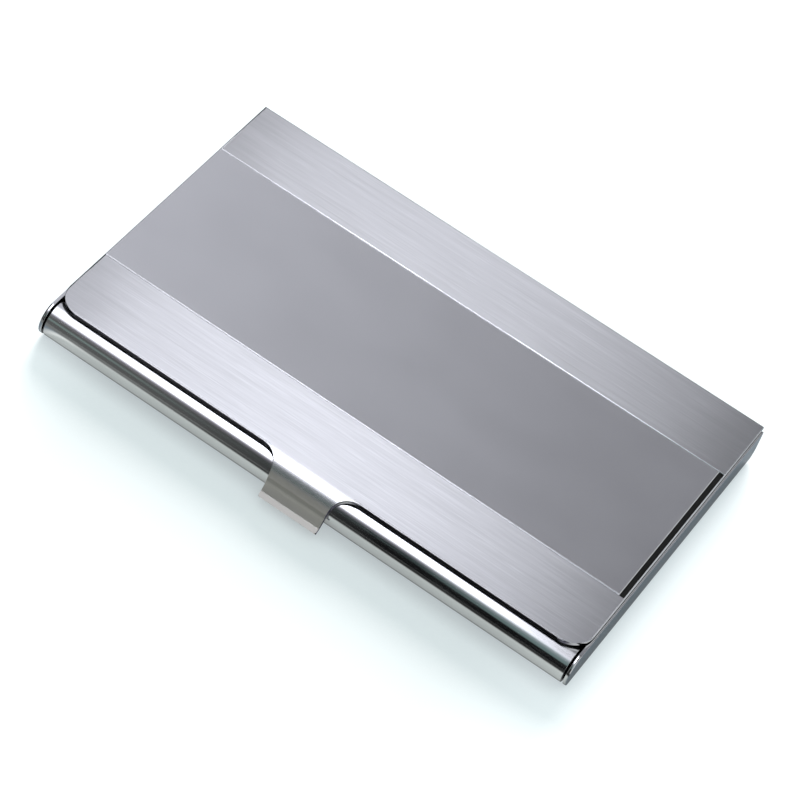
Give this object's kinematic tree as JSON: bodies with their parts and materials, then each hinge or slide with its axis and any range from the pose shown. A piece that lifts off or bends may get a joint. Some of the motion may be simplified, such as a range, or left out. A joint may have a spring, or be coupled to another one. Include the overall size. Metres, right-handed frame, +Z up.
{
  "type": "business card case",
  "caption": "Flat pocket case of stainless steel sheet: a tray with a rolled front edge and a hinged lid whose thumb tab folds down over the roll.",
  "frame": {"origin": "middle of the case's footprint, the tab's lip included, on the surface that the case lies on", "axes": "+X along the long side, to the right as seen from the tab; +Y towards the hinge; +Z up, out of the lid"},
  "size_m": [0.0936, 0.0598, 0.007],
  "materials": {
    "polished_steel": "polished stainless steel",
    "brushed_steel": "fine straight brushing along the long side",
    "satin_steel": "smooth satin, no visible grain",
    "mill_steel": "plain mill finish",
    "spring_steel": "cold-rolled spring strip",
    "black_film": "matt black adhesive film"
  },
  "bodies": {
    "tray_body": {"tray": "polished_steel", "hinge_pin_left": "mill_steel", "hinge_pin_right": "mill_steel", "friction_spring": "spring_steel", "spring_rivet_left": "mill_steel", "spring_rivet_right": "mill_steel"},
    "lid_body": {"lid_plate": "brushed_steel", "inlay_film": "black_film", "inlay_plate": "satin_steel", "hinge_bracket_left": "mill_steel", "hinge_bracket_right": "mill_steel"}
  },
  "joints": [
    {"name": "lid_hinge", "type": "hinge", "parent": "tray_body", "child": "lid_body", "pos_m": [0, 0.02842, 0.003], "axis": [-1, 0, 0], "range_deg": [0, 105]}
  ]
}
